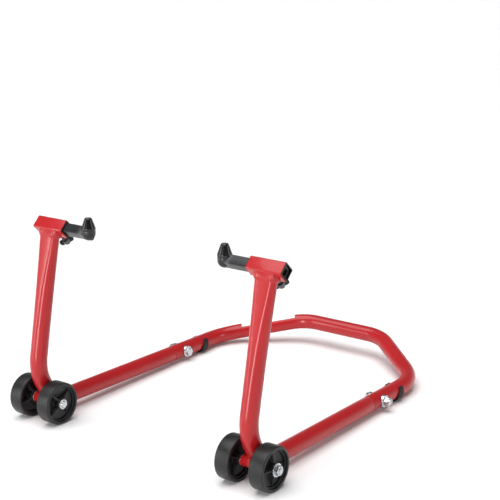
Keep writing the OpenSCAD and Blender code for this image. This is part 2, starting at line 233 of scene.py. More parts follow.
M_RED = mat_red()
M_WHEEL = mat_wheel()
# black_coated_steel and black_plastic carry the painted edge highlight; black_gloss and black_rubber do not
M_BAR = mat_dark("black_coated_steel", (0.009, 0.009, 0.010), (0.015, 0.015, 0.017), 0.26, 0.38, 700, 0.16, 0.0002, 0.25, (0.52, 0.60))
M_GLOSS = mat_dark("black_gloss", (0.004, 0.004, 0.005), (0.007, 0.007, 0.008), 0.12, 0.20, 500, 0.05, 0.0001, 0.5)
M_PLA = mat_dark("black_plastic", (0.007, 0.007, 0.008), (0.012, 0.012, 0.013), 0.34, 0.46, 1700, 0.3, 0.00015, 0.0, (0.53, 0.62))
M_RUB = mat_dark("black_rubber", (0.010, 0.0105, 0.011), (0.017, 0.0175, 0.018), 0.50, 0.66, 1300, 0.35, 0.0002)
# zinc_plate carries the painted crease shade
M_ZINC = mat_metal("zinc_plate", (0.52, 0.53, 0.55), (0.66, 0.67, 0.69), 0.20, 0.34, edge=(0.30, 0.31, 0.33))
M_BUSH = mat_metal("steel_bush", (0.50, 0.50, 0.51), (0.62, 0.62, 0.63), 0.25, 0.42, (0.15, 3, 3), 900)
M_SCREW = mat_metal("dark_screw", (0.10, 0.10, 0.105), (0.17, 0.17, 0.175), 0.30, 0.45)


def mat_label():
    m, nt, b = new_mat("label_film")
    v = obj_coords(nt)
    base = ramp(nt, noise(nt, v, 60, 4), [(0.3, (0.80, 0.80, 0.79)), (0.7, (0.87, 0.87, 0.865))])
    nt.links.new(base, b.inputs["Base Color"])
    nt.links.new(to_range(nt, noise(nt, v, 300, 3), 0.34, 0.46), b.inputs["Roughness"])
    bump(nt, b, [(noise(nt, v, 180, 3), 0.08, 0.0003)])
    return m


M_LABEL = mat_label()


# ------------------------------------------------------------------ mesh helpers
def rings_faces(nr, n, closed_u=False, base=0):
    f = []
    for i in range(nr if closed_u else nr - 1):
        a, b = base + i * n, base + ((i + 1) % nr) * n
        for k in range(n):
            k2 = (k + 1) % n
            f.append((a + k, b + k, b + k2, a + k2))
    return f


class Build:
    """collects closed shells in mm, in the stand's own frame"""

    def __init__(self):
        self.v, self.f, self.m = [], [], []

    def add(self, verts, faces, mat=0):
        o = len(self.v)
        self.v += [tuple(map(float, p)) for p in verts]
        self.f += [tuple(i + o for i in f) for f in faces]
        self.m += [mat] * len(faces)

    def loft(self, rings, caps=True, closed_u=False, mat=0):
        rings = [np.asarray(r, float) for r in rings]
        n = len(rings[0])
        v = np.vstack(rings)
        f = rings_faces(len(rings), n, closed_u)
        if caps and not closed_u:
            f.append(tuple(range(n)))
            f.append(tuple((len(rings) - 1) * n + k for k in reversed(range(n))))
        self.add(v, f, mat)

    def obj(self, name, mats, body, slot, replaces=(), side=1, sharp=32, shift=True):
        s = np.array([side, 1.0, 1.0])
        v = np.array(self.v, float) * s
        if shift:
            v = v + np.array([0, AY, 0])
        v *= MM
        me = bpy.data.meshes.new(name)
        me.from_pydata([tuple(p) for p in v], [], self.f)
        for mt in (mats if isinstance(mats, (list, tuple)) else [mats]):
            me.materials.append(mt)
        me.polygons.foreach_set("material_index", self.m)
        me.update()
        bm = bmesh.new()
        bm.from_mesh(me)
        bmesh.ops.remove_doubles(bm, verts=bm.verts, dist=1e-7)
        bmesh.ops.dissolve_degenerate(bm, edges=bm.edges, dist=1e-7)
        bmesh.ops.recalc_face_normals(bm, faces=bm.faces)
        for fc in bm.faces:
            fc.smooth = True
        lim = R(sharp)
        for e in bm.edges:
            e.smooth = len(e.link_faces) == 2 and e.calc_face_angle(0) < lim
        bm.to_mesh(me)
        bm.free()
        o = bpy.data.objects.new(name, me)
        bpy.context.scene.collection.objects.link(o)
        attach(o, body)
        if replaces:
            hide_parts(*replaces)
        return o


def frame_of(d, up=(0, 0, 1)):
    d = np.asarray(d, float)
    d = d / np.linalg.norm(d)
    s = np.cross(d, up)
    if np.linalg.norm(s) < 1e-6:
        s = np.cross(d, (1, 0, 0))
    s /= np.linalg.norm(s)
    return d, s, np.cross(s, d)


def circle_pts(c, s, u, r, n=64, ph=0.0):
    a = np.arange(n) * 2 * np.pi / n + ph
    rr = np.full(n, r) if np.isscalar(r) else np.asarray(r)
    return np.asarray(c) + np.outer(np.cos(a) * rr, s) + np.outer(np.sin(a) * rr, u)


def tube_path(pts, rads, seg=26, straight=40.0):
    """points along a bent tube with true arcs"""
    pts = [np.asarray(p, float) for p in pts]
    out = [pts[0]]

    def line(a, b):
        n = max(1, int(np.linalg.norm(b - a) / straight))
        for i in range(1, n + 1):
            out.append(a + (b - a) * i / n)
    cur = pts[0]
    for i in range(1, len(pts) - 1):
        u = pts[i - 1] - pts[i]
        v = pts[i + 1] - pts[i]
        u /= np.linalg.norm(u)
        v /= np.linalg.norm(v)
        th = math.acos(np.clip(u @ v, -1, 1))
        t = rads[i - 1] / math.tan(th / 2)
        w = (u + v) / np.linalg.norm(u + v)
        c = pts[i] + w * rads[i - 1] / math.sin(th / 2)
        a, b = pts[i] + u * t, pts[i] + v * t
        line(cur, a)
        e1 = (a - c) / rads[i - 1]
        e2 = -u
        turn = math.pi - th
        for k in range(1, seg + 1):
            g = turn * k / seg
            out.append(c + rads[i - 1] * (math.cos(g) * e1 + math.sin(g) * e2))
        cur = b
    line(cur, pts[-1])
    return np.array(out)


def path_frames(P, side0):
    """parallel transport of side0 along the path"""
    T = np.gradient(P, axis=0)
    T /= np.linalg.norm(T, axis=1)[:, None]
    S = []
    s = np.asarray(side0, float)
    for t in T:
        s = s - t * (s @ t)
        s /= np.linalg.norm(s)
        S.append(s.copy())
    S = np.array(S)
    return T, S, np.cross(S, T)


def revolve(b, axis_pt, axis, prof, n=64, mat=0, closed=True):
    """prof: list of (distance along the axis, radius); closed profile makes a ring"""
    d, s, u = frame_of(axis)
    rings = [circle_pts(np.asarray(axis_pt) + d * h, s, u, r, n) for h, r in prof]
    b.loft(rings, caps=False, closed_u=closed, mat=mat)


def revolve_solid(b, axis_pt, axis, prof, n=64, mat=0):
    d, s, u = frame_of(axis)
    rings = [circle_pts(np.asarray(axis_pt) + d * h, s, u, max(r, 0.02), n) for h, r in prof]
    b.loft(rings, caps=True, mat=mat)


def fillet_profile(pts, rad, seg=5):
    """rounds the corners of a closed 2D outline; rad may be a list"""
    out = []
    n = len(pts)
    for i in range(n):
        p = np.array(pts[i], float)
        r = rad[i] if isinstance(rad, (list, tuple)) else rad
        a = np.array(pts[i - 1], float) - p
        c = np.array(pts[(i + 1) % n], float) - p
        la, lc = np.linalg.norm(a), np.linalg.norm(c)
        a, c = a / la, c / lc
        th = math.acos(np.clip(a @ c, -1, 1))
        if r <= 0 or th > math.pi - 0.03:
            out.append(tuple(p))
            continue
        t = min(r / math.tan(th / 2), la * 0.49, lc * 0.49)
        rr = t * math.tan(th / 2)
        w = (a + c) / np.linalg.norm(a + c)
        cen = p + w * rr / math.sin(th / 2)
        p0, p1 = p + a * t, p + c * t
        a0 = math.atan2(*(p0 - cen)[::-1])
        a1 = math.atan2(*(p1 - cen)[::-1])
        da = (a1 - a0 + math.pi) % (2 * math.pi) - math.pi
        for k in range(seg + 1):
            g = a0 + da * k / seg
            out.append((cen[0] + rr * math.cos(g), cen[1] + rr * math.sin(g)))
    return out


def hex_ring(c, s, u, af, n=72, ph=0.0):
    a = np.arange(n) * 2 * np.pi / n
    m = (a - ph) % (math.pi / 3) - math.pi / 6
    r = (af / 2) / np.cos(m)
    return circle_pts(c, s, u, r, n), r


def hex_prism(b, base, axis, h0, h1, af, bore=0.0, ch0=True, ch1=True, ph=0.0, n=72, mat=0, floor=None):
    """a hexagon with turned chamfers at its faces, bored or solid"""
    d, s, u = frame_of(axis)
    base = np.asarray(base, float)
    a = np.arange(n) * 2 * np.pi / n
    m = (a - ph) % (math.pi / 3) - math.pi / 6
    r = (af / 2) / np.cos(m)
    rc = af / 2 * 0.965
    cosv, sinv = np.cos(a)[:, None], np.sin(a)[:, None]

    def ring(rad, h):
        rad = np.full(n, rad) if np.isscalar(rad) else rad
        h = np.full(n, h) if np.isscalar(h) else h
        return base + d * h[:, None] + cosv * s * rad[:, None] + sinv * u * rad[:, None]
    drop = np.maximum(r - rc, 0) * math.tan(R(30)) + 0.05
    rings = []
    if bore > 0:
        rings.append(ring(bore, h0 + 0.5))
        rings.append(ring(bore + 0.5, h0))
    rings.append(ring(rc, h0))
    rings.append(ring(r, h0 + (drop if ch0 else 0.05)))
    rings.append(ring(r, h1 - (drop if ch1 else 0.05)))
    rings.append(ring(rc, h1))
    if bore > 0:
        rings.append(ring(bore + 0.5, h1))
        rings.append(ring(bore, h1 - 0.5))
        b.loft(rings, caps=False, closed_u=True, mat=mat)
    else:
        b.loft(rings, caps=True, mat=mat)


def threaded(b, base, axis, h0, h1, r, pitch, depth, n=40, mat=0, tip=0.8):
    """a screw thread as a true helical surface"""
    d, s, u = frame_of(axis)
    base = np.asarray(base, float)
    k = 8
    m = max(4, int((h1 - h0) / pitch * k))
    a = np.arange(n) * 2 * np.pi / n
    rings = []
    for i in range(m + 1):
        h = h0 + (h1 - h0) * i / m
        ph = (h / pitch - a / (2 * np.pi)) % 1.0
        tri = np.abs(ph * 2 - 1)
        rad = r - depth * np.clip(1.25 * (1 - tri) - 0.1, 0, 1)
        end = max(0.0, 1 - (h1 - h) / tip) * 0.9
        rad = np.minimum(rad, r - end)
        rings.append(circle_pts(base + d * h, s, u, rad, n))
    b.loft(rings, caps=True, mat=mat)


def washer(b, base, axis, h0, h1, ro, ri, n=64, bev=0.35, mat=0):
    prof = fillet_profile([(h0, ri), (h0, ro), (h1, ro), (h1, ri)], bev, 4)
    revolve(b, base, axis, prof, n, mat)


def square_ring(x, a, rad, seg=8, y0=SOCK_Y, z0=SOCK_Z):
    """a rounded square standing on its edge, at x; points from the top edge round"""
    h = a / 2
    pts = []
    for q in range(4):
        cx, cy = [(1, 1), (-1, 1), (-1, -1), (1, -1)][q]
        for k in range(seg + 1):
            g = R(90 * q + 90 * k / seg)
            pts.append(((h - rad) * cx + rad * math.cos(g), (h - rad) * cy + rad * math.sin(g)))
    c = math.sqrt(0.5)
    return np.array([(x, y0 + (p - q) * c, z0 + (p + q) * c) for p, q in pts])


def square_tube(b, x0, x1, a, rad, a_in, rad_in, bev=0.5, mat=0, steps=5):
    """hollow square tube with rounded rims"""
    def bevel(x, sgn, g):
        k = bev * (1 - math.sin(g))
        w = bev * (1 - math.cos(g))
        return x + sgn * 0, k, w
    outer, inner = [], []
    for j in range(steps + 1):
        g = R(90 * j / steps)
        outer.append((x0 + bev * (1 - math.sin(g)), bev * (1 - math.cos(g))))
    for j in range(steps + 1):
        g = R(90 * j / steps)
        inner.append((x0 + bev * (1 - math.sin(g)), bev * (1 - math.cos(g))))
    rings = []
    # outside from x0 to x1
    for dx, w in reversed(outer):
        rings.append(square_ring(dx, a - 2 * w, max(rad - w, 0.3)))
    rings = []
    prof_o = [(bev * (1 - math.sin(R(90 * j / steps))), bev * (1 - math.cos(R(90 * j / steps)))) for j in range(steps + 1)]
    # x offset from the end, inset; j = 0 -> (bev, 0), j = steps -> (0, bev)
    for dx, w in reversed(prof_o):
        rings.append(square_ring(x0 + dx, a - 2 * w, max(rad - w, 0.3)))
    for dx, w in prof_o:
        rings.append(square_ring(x1 - dx, a - 2 * w, max(rad - w, 0.3)))
    for dx, w in reversed(prof_o):
        rings.append(square_ring(x1 - dx, a_in + 2 * w * 0.6, rad_in + w * 0.6))
    for dx, w in prof_o:
        rings.append(square_ring(x0 + dx, a_in + 2 * w * 0.6, rad_in + w * 0.6))
    b.loft(rings, caps=False, closed_u=True, mat=mat)


def bead(b, path, normals, r=2.2, ripple=0.35, pitch=2.6, n=14, closed=True, mat=0, squash=0.8):
    """a weld bead along a path: overlapping ripples, half sunk in the joint"""
    P = np.asarray(path, float)
    L = np.concatenate([[0], np.cumsum(np.linalg.norm(np.diff(P, axis=0), axis=1))])
    total = L[-1] + (np.linalg.norm(P[0] - P[-1]) if closed else 0)
    if closed:
        P2 = np.vstack([P, P[:1]])
        L2 = np.append(L, total)
        N2 = np.vstack([normals, normals[:1]])
    else:
        P2, L2, N2 = P, L, np.asarray(normals, float)
    count = max(3, round(total / pitch))
    m = count * 5
    rings = []
    for i in range(m if closed else m + 1):
        q = total * i / m
        c = np.array([np.interp(q, L2, P2[:, k]) for k in range(3)])
        q1, q0 = (q + 0.6), (q - 0.6)
        if closed:
            q1, q0 = q1 % total, q0 % total
        else:
            q1, q0 = min(q1, total), max(q0, 0)
        t = np.array([np.interp(q1, L2, P2[:, k]) - np.interp(q0, L2, P2[:, k]) for k in range(3)])
        t /= np.linalg.norm(t) + 1e-12
        nn = np.array([np.interp(q, L2, N2[:, k]) for k in range(3)])
        nn -= t * (nn @ t)
        nn /= np.linalg.norm(nn)
        s = np.cross(t, nn)
        ph = (i % 5) / 5.0
        wob = 1 + 0.06 * math.sin(q * 0.9) + 0.04 * math.sin(q * 2.3 + 1)
        rr = r * wob - ripple * (ph ** 1.5)
        fade = 1.0
        if not closed:
            fade = min(1.0, 0.35 + q / (2 * r), 0.35 + (total - q) / (2 * r))
        a = np.arange(n) * 2 * np.pi / n
        rings.append(c + np.outer(np.cos(a) * rr * fade, s) + np.outer(np.sin(a) * rr * fade * squash, nn))
    b.loft(rings, caps=not closed, closed_u=closed, mat=mat)


# ------------------------------------------------------------------ side tubes
SEC = [(140, 32.0, 32.0), (170, 32.15, 31.7), (200, 32.7, 30.6), (230, 33.6, 29.4), (252, 34.6, 28.1), (272, 35.9, 26.3),
       (292, 37.4, 24.0), (312, 39.1, 21.6), (330, 40.8, 19.7), (349, 42.0, 18.5)]


def sec_at(z):
    zs = [q[0] for q in SEC]
    t = np.clip(z, zs[0], zs[-1])
    # smooth interpolation through the sections
    i = int(np.clip(np.searchsorted(zs, t) - 1, 0, len(zs) - 2))
    u = (t - zs[i]) / (zs[i + 1] - zs[i])
    out = []
    for c in (1, 2):
        p0 = SEC[max(i - 1, 0)]
        p1, p2 = SEC[i], SEC[i + 1]
        p3 = SEC[min(i + 2, len(SEC) - 1)]
        m1 = (p2[c] - p0[c]) / (p2[0] - p0[0])
        m2 = (p3[c] - p1[c]) / (p3[0] - p1[0])
        h = p2[0] - p1[0]
        out.append((2 * u ** 3 - 3 * u ** 2 + 1) * p1[c] + (u ** 3 - 2 * u ** 2 + u) * h * m1
                   + (-2 * u ** 3 + 3 * u ** 2) * p2[c] + (u ** 3 - u ** 2) * h * m2)
    return out


NT = 72


def oval_ring(c, sx, fy, w, t, n=NT):
    a = (np.arange(n) + 0.5) * 2 * np.pi / n
    x = np.sign(np.cos(a)) * (w - t) / 2 + np.cos(a) * t / 2
    y = np.sin(a) * t / 2
    return c + np.outer(x, sx) + np.outer(y, fy)


def side_tube(side, tag):
    b = Build()
    up_dir = np.array([0, math.sin(LEAN), math.cos(LEAN)])
    zs = [350.5, 349.0, 346, 342] + list(np.arange(336, 139, -6.0))
    pts_up = [np.array([GH, up_y(z), z]) for z in zs]
    low = tube_path([pts_up[-1], np.array([GH, KNEE[1], KNEE[2]]), np.array([GH, SEAM_Y, rail_z(SEAM_Y)])], [82.0], 34)
    rings_o, rings_i = [], []
    fy = np.array([0, -math.cos(LEAN), math.sin(LEAN)])
    sx = np.array([1.0, 0, 0])
    for z, p in zip(zs[:-1], pts_up[:-1]):
        w, t = sec_at(z)
        rings_o.append((p, sx, fy, w, t))
    T = np.gradient(low, axis=0)
    T /= np.linalg.norm(T, axis=1)[:, None]
    for p, t in zip(low, T):
        f = np.cross(sx, t)
        if f @ fy < 0 and p[2] > 100:
            f = -f
        rings_o.append([p, sx, f, 32.0, 32.0])
    # keep the frames turning the same way all along
    prev = fy
    out = []
    for p, s_, f, w, t in rings_o:
        f = np.asarray(f)
        if f @ prev < 0:
            f = -f
        prev = f
        out.append((p, s_, f, w, t))
    # rounded rim at the seam
    pe, se, fe, we, te = out[-1]
    tdir = T[-1]
    out = out[:-1]
    rim = [(pe - tdir * 1.3, 32.0), (pe - tdir * 0.85, 31.8), (pe - tdir * 0.55, 31.35), (pe - tdir * 0.45, 30.6)]
    rings = [oval_ring(p, s_, f, w, t) for p, s_, f, w, t in out]
    rings += [oval_ring(p, se, fe, w, w) for p, w in rim]
    inner = [oval_ring(p, s_, f, w - 4, t - 4) for p, s_, f, w, t in out]
    inner += [oval_ring(pe - tdir * 0.45, se, fe, 28.0, 28.0)]
    b.loft(rings + inner[::-1], caps=False, closed_u=True)
    return b.obj(tag + "_side_tube_skin", M_RED, "frame", "red_powder_coat", [tag + "_side_tube"], side, 40)


for side, tag in ((1, "right"), (-1, "left")):
    side_tube(side, tag)


# ------------------------------------------------------------------ handle loop
def handle_loop():
    b = Build()
    z0, z1 = rail_z(SEAM_Y), rail_z(CORNER_Y)
    pts = [(GH, SEAM_Y, z0), (GH, CORNER_Y, z1), (REAR, LOOP_Y, LOOP_Z), (-REAR, LOOP_Y, LOOP_Z), (-GH, CORNER_Y, z1), (-GH, SEAM_Y, z0)]
    P = tube_path(pts, [105.0, 88.0, 88.0, 105.0], 30)
    T, S, U = path_frames(P, (0, 0, 1))
    rim = [(0.45, 15.3), (0.55, 15.68), (0.85, 15.9), (1.3, 16.0)]
    rings = [circle_pts(P[0] + T[0] * h, S[0], U[0], r, NT) for h, r in rim]
    rings += [circle_pts(P[i], S[i], U[i], 16.0, NT) for i in range(1, len(P) - 1)]
    rings += [circle_pts(P[-1] - T[-1] * h, S[-1], U[-1], r, NT) for h, r in rim[::-1]]
    inner = [circle_pts(P[0] + T[0] * 0.45, S[0], U[0], 14.0, NT)]
    inner += [circle_pts(P[i], S[i], U[i], 14.0, NT) for i in range(1, len(P) - 1)]
    inner += [circle_pts(P[-1] - T[-1] * 0.45, S[-1], U[-1], 14.0, NT)]
    b.loft(rings + inner[::-1], caps=False, closed_u=True)
    b.obj("handle_loop_skin", M_RED, "frame", "red_powder_coat", ["handle_loop"], 1, 40)


handle_loop()


# ------------------------------------------------------------------ sockets, liners, weld nut, welds
CA = np.array([0, math.sqrt(0.5), -math.sqrt(0.5)])   # out along the clamp screw
CC = np.array([GH, SOCK_Y, SOCK_Z])


def knob_blade(b, origin, ax, e1, e2, sgn):
    """one wing of the knob: a rounded paddle lofted outwards"""
    rings = []
    for i in range(17):
        t = i / 16
        x = sgn * (3.5 + 10.4 * t)
        half_h = 6.3 * (1 - 0.10 * t) * math.sqrt(max(0.02, 1 - max(0, (t - 0.62) / 0.40) ** 2))
        half_w = (2.9 - 0.4 * t) * math.sqrt(max(0.02, 1 - max(0, (t - 0.78) / 0.24) ** 2))
        hc = 7.0
        n = 28
        pts = []
        for k in range(n):
            g = 2 * math.pi * k / n
            cx, cy = math.cos(g), math.sin(g)
            px = math.copysign(abs(cx) ** 0.55, cx) * half_w
            py = math.copysign(abs(cy) ** 0.55, cy) * half_h
            pts.append(origin + ax * (hc + py) + e1 * x + e2 * px)
        rings.append(np.array(pts))
    b.loft(rings, caps=True)


for side, tag in ((1, "right"), (-1, "left")):
    x0, x1 = SOCK_X - SOCK_L / 2, SOCK_X + SOCK_L / 2
    b = Build()
    square_tube(b, x0, x1, SOCK_A, 3.0, SOCK_A - 4, 1.2, 0.55)
    b.obj(tag + "_socket_shell", M_RED, "frame", "red_powder_coat", [tag + "_socket"], side, 35)

    for end, nm in ((1, "outer"), (-1, "inner")):
        b = Build()
        xe = x1 if end > 0 else x0
        if end > 0:
            square_tube(b, xe + 0.02, xe + 1.5, SOCK_A - 2.2, 2.0, BAR_A + 0.6, 1.0, 0.45)
            square_tube(b, xe - 14, xe + 0.6, SOCK_A - 4.04, 1.15, BAR_A + 0.6, 1.0, 0.2)
        else:
            square_tube(b, xe - 1.5, xe - 0.02, SOCK_A - 2.2, 2.0, BAR_A + 0.6, 1.0, 0.45)
            square_tube(b, xe - 0.6, xe + 14, SOCK_A - 4.04, 1.15, BAR_A + 0.6, 1.0, 0.2)
        b.obj(f"{tag}_{nm}_liner_moulding", M_PLA, "frame", "black_plastic", [f"{tag}_{nm}_liner"], side, 35)

    b = Build()
    hex_prism(b, CC, CA, SOCK_A / 2 - 0.1, SOCK_A / 2 + NUT_H, 13.0, SCREW_R + 0.25, False, True, R(10))
    b.obj(tag + "_weld_nut_hex", M_RED, "frame", "red_powder_coat", [tag + "_weld_nut"], side, 30)

    # weld round the nut
    b = Build()
    d, s_, u_ = frame_of(CA)
    a = np.linspace(0, 2 * np.pi, 60, endpoint=False)
    pth = CC + d * (SOCK_A / 2 + 0.3) + np.outer(np.cos(a) * 7.3, s_) + np.outer(np.sin(a) * 7.3, u_)
    nrm = np.outer(np.cos(a), s_) + np.outer(np.sin(a), u_) + d * 0.8
    bead(b, pth, nrm, 1.3, 0.22, 2.0, 10)
    # weld between the upright's cut end and the socket: a flared, rippled fillet
    w_, t_ = sec_at(349.0)
    up_dir = np.array([0, math.sin(LEAN), math.cos(LEAN)])
    fy = np.array([0, -math.cos(LEAN), math.sin(LEAN)])
    c_end = np.array([GH, up_y(347.6), 347.6])
    n = 160
    a = (np.arange(n) + 0.5) * 2 * np.pi / n
    perim, top, nr = [], [], []
    for g in a:
        cx, cy = math.cos(g), math.sin(g)
        x = math.copysign((w_ - t_) / 2, cx) + cx * t_ / 2
        y = cy * t_ / 2
        nrm2 = np.array([cx, 0, 0]) + fy * cy
        p = c_end + np.array([x, 0, 0]) + fy * y
        perim.append((p, nrm2))
    # rings of the fillet: from the tube wall up to the socket's lower faces
    ripple_n = 44
    levels = 9
    sock_c = np.array([0, SOCK_Y, SOCK_Z])
    f_front = np.array([0, -math.sqrt(0.5), -math.sqrt(0.5)])
    f_back = np.array([0, math.sqrt(0.5), -math.sqrt(0.5)])
    rings = []
    feet = []
    for p, q in perim:
        # where a line from p, leaning outwards, meets the socket's lower faces
        lat = q / np.linalg.norm(q)
        flare = 1.2 + 2.6 * abs(lat[0]) ** 2
        best = None
        for fn in (f_front, f_back):
            dirn = up_dir * 1.0
            start = p + lat * flare
            den = dirn @ fn
            dist = (SOCK_A / 2 - (start - np.array([0, SOCK_Y, SOCK_Z])) @ fn) / den
            hit = start + dirn * dist
            side_ok = (hit - np.array([0, SOCK_Y, SOCK_Z]))[1] * fn[1] > -0.3
            if side_ok and (best is None):
                best = hit - fn * 0.5
        if best is None:
            best = np.array([p[0] + lat[0] * flare, SOCK_Y, SOCK_Z - SOCK_A * math.sqrt(0.5) + 1.2])
        feet.append(best)
    for j in range(levels + 1):
        t = j / levels
        ring = []
        for i, ((p, q), ft) in enumerate(zip(perim, feet)):
            lat = q / np.linalg.norm(q)
            base = p - up_dir * 5.0
            ph = (i * ripple_n / n) % 1.0
            rip = 0.34 * (1 - (2 * ph - 1) ** 2) * math.sin(math.pi * min(1, max(0, t)))
            wob = 0.3 * math.sin(i * 0.31) + 0.2 * math.sin(i * 0.83 + 1)
            conc = 1 - math.sin(math.pi * t) * 0.18
            pos = base * (1 - t) + ft * t
            bulge = math.sin(math.pi * t) * (0.9 + 0.25 * wob) + rip
            start_in = -0.35 if j == 0 else 0.0
            ring.append(pos + lat * (bulge + start_in))
        rings.append(np.array(ring))
    inner = []
    for (p, q), ft in zip(perim, feet):
        lat = q / np.linalg.norm(q)
        inner.append(np.array(ft) - lat * 3.2 + up_dir * 0.6)
    rings.append(np.array(inner))
    rings.append(np.array([p - up_dir * 5.0 - (q / np.linalg.norm(q)) * 1.6 for p, q in perim]))
    b.loft(rings, caps=False, closed_u=True)
    # beads where the axle sleeve passes through the bend
    for sg in (-1, 1):
        a = np.linspace(0, 2 * np.pi, 72, endpoint=False)
        pts, ns = [], []
        for g in a:
            yy, zz = 10.0 * math.cos(g), WHEEL_R + 10.0 * math.sin(g)
            # distance of this point from the bent centreline in the side plane
            cen = np.array([100.4 - 26.0 + 0.0, 0])
            cy, cz = -245.1 - AY, 108.9
            dist = math.hypot(yy - cy, zz - cz)
            off = 82.0 - dist
            inside = 16.0 ** 2 - off ** 2
            if inside > 1:
                xx = math.sqrt(inside)
            else:
                xx = 1.0
            xx = min(xx, 16.4)
            pts.append((GH + sg * xx, yy, zz))
            ns.append((sg * 0.7, math.cos(g), math.sin(g)))
        bead(b, np.array(pts), np.array(ns), 1.5, 0.25, 2.2, 10)
    b.obj(tag + "_weld_beads", M_RED, "frame", "red_powder_coat", [], side, 50)

    # axle sleeve
    b = Build()
    washer(b, (GH, 0, WHEEL_R), (1, 0, 0), -18, 18, 10.0, 5.1, 64, 0.5)
    b.obj(tag + "_axle_sleeve_tube", M_RED, "frame", "red_powder_coat", [tag + "_axle_sleeve"], side, 35)

    # adapter bar: square section swept round the elbow and morphed to the riser
    b = Build()
    rings = []
    seg = 8
    nn = 4 * (seg + 1)
    c45 = math.sqrt(0.5)

    def sq_pts(a_, rad):
        h = a_ / 2
        out = []
        for q in range(4):
            cx, cy = [(1, 1), (-1, 1), (-1, -1), (1, -1)][q]
            for k in range(seg + 1):
                g = R(90 * q + 90 * k / seg)
                p_, q_ = (h - rad) * cx + rad * math.cos(g), (h - rad) * cy + rad * math.sin(g)
                out.append(((p_ - q_) * c45, (p_ + q_) * c45))
        return np.array(out)
    SQ = sq_pts(BAR_A, 1.6)
    ang = np.arctan2(SQ[:, 1], SQ[:, 0])
    CI = np.stack([np.cos(ang), np.sin(ang)], 1) * 12.55

    def section(c, e_y, e_u, mix, k=1.0):
        q = (SQ * (1 - mix) + CI * mix) * k
        return np.asarray(c) + np.outer(q[:, 0], e_y) + np.outer(q[:, 1], e_u)
    ey = np.array([0, 1.0, 0])
    # outer end, hollow
    ins = sq_pts(BAR_A - 5, 0.9)

    def in_sec(x):
        return np.array([x, SOCK_Y, SOCK_Z]) + np.outer(ins[:, 0], ey) + np.outer(ins[:, 1], (0, 0, 1.0))
    rings.append(in_sec(CONE_X + 17))
    rings.append(in_sec(BAR_END - 0.4))
    for dx, k in ((0.0, 0.955), (0.12, 0.975), (0.4, 0.995), (0.8, 1.0)):
        rings.append(section((BAR_END - dx, SOCK_Y, SOCK_Z), ey, np.array([0, 0, 1.0]), 0, k))
    for x in np.linspace(BAR_END - 6, CONE_X + 11.0, 14):
        rings.append(section((x, SOCK_Y, SOCK_Z), ey, np.array([0, 0, 1.0]), 0))
    b.loft(rings, caps=True)
    rings = [section((CONE_X + 12.0, SOCK_Y, SOCK_Z), ey, np.array([0, 0, 1.0]), 0, 0.998)]
    # the elbow: a mitred corner with a rounded back, turning the square into the round riser
    rb = CONE_BASE - 0.3 - SOCK_Z
    cen = np.array([CONE_X + rb, SOCK_Y, SOCK_Z + rb])
    big, rnd = rb + 12.6, 7.0
    flat = big - rnd

    def reach(g):
        sn, cs = math.sin(g), math.cos(g)
        if cs > 1e-9 and big * sn / cs <= flat:
            return 1 / cs
        if sn > 1e-9 and big * cs / sn <= flat:
            return 1 / sn
        return (flat * (sn + cs) + math.sqrt(max(0, rnd ** 2 - flat ** 2 * (sn - cs) ** 2))) / big
    for i in range(0, 31):
        g = R(90) * i / 30
        mix = min(1.0, max(0.0, (i / 30 - 0.25) / 0.75))
        mix = mix * mix * (3 - 2 * mix)
        e_u = np.array([math.sin(g), 0, math.cos(g)])
        q = SQ * (1 - mix) + CI * mix
        dist = np.maximum(rb - q[:, 1], 0.35) * reach(g)
        rings.append(cen - np.outer(dist, e_u) + np.outer(q[:, 0], ey))
    b.loft(rings, caps=True)
    # riser: a turned column under the cone, rounded into the elbow
    ph = [(0, 0.0)]
    prof = []
    for k in range(13):
        g = R(-90 + 90 * k / 12)
        prof.append((SOCK_Z + 12.45 * math.sin(g), max(12.45 * math.cos(g), 0.05)))
    prof += [(CONE_BASE - 1.2, 12.5), (CONE_BASE - 0.4, 12.3), (CONE_BASE - 0.05, 11.9)]
    revolve_solid(b, (CONE_X, SOCK_Y, 0), (0, 0, 1), prof, 64)
    b.obj(tag + "_adapter_bar_skin", M_BAR, tag + "_adapter", "black_coated_steel", [tag + "_adapter_bar"], side, 30)

    # cone
    b = Build()
    prof = fillet_profile([(CONE_BASE, 0.3), (CONE_BASE, 12.95), (CONE_WIDE, 12.95), (TIP_Z - 1.6, 6.9), (TIP_Z, 5.4), (TIP_Z, 0.3)],
                          [0, 0.7, 2.2, 2.0, 1.0, 0], 6)
    revolve_solid(b, (CONE_X, SOCK_Y, 0), (0, 0, 1), prof, 72)
    b.obj(tag + "_lift_cone_turned", M_GLOSS, tag + "_adapter", "black_gloss", [tag + "_lift_cone"], side, 35)

    # clamp screw with a real thread
    b = Build()
    threaded(b, CC, CA, BAR_A / 2 + 0.45, KNOB_FACE + 9.5, SCREW_R, 1.25, 0.62, 36)
    b.obj(tag + "_clamp_screw_thread", M_SCREW, tag + "_screw", "dark_screw", [tag + "_clamp_screw"], side, 60)

